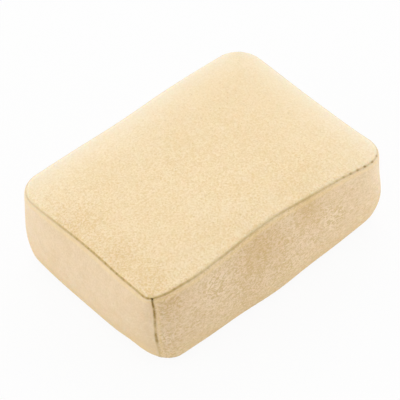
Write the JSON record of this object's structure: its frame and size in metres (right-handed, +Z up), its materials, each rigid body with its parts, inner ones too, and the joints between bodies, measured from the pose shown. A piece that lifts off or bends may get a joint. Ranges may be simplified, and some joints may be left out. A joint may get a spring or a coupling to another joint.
{
  "type": "chamois leather cleaning pad",
  "caption": "Brick-shaped hand pad for wiping glass: a soft foam block sewn into a cover of suede-napped chamois leather, with inward-turned seams round its edges.",
  "frame": {"origin": "middle of the underside, on the surface that the pad lies on", "axes": "+X along the pad's length, +Y across its width, +Z up; the near corner seam is at -X-Y and the hand-closed seam is under the +Y side"},
  "size_m": [0.13, 0.092, 0.041],
  "materials": {
    "chamois_leather": "matte",
    "chamois_leather_side": "matte",
    "foam": "matte",
    "thread": "matte"
  },
  "bodies": {
    "root": {"foam_core": "foam", "top_panel": "chamois_leather", "bottom_panel": "chamois_leather", "front_side_strip": "chamois_leather_side", "back_side_strip": "chamois_leather_side", "top_seam_needle_thread": "thread", "top_seam_bobbin_thread": "thread", "bottom_seam_needle_thread": "thread", "bottom_seam_bobbin_thread": "thread", "near_corner_needle_thread": "thread", "near_corner_bobbin_thread": "thread", "far_corner_needle_thread": "thread", "far_corner_bobbin_thread": "thread", "closing_thread": "thread"}
  },
  "joints": []
}
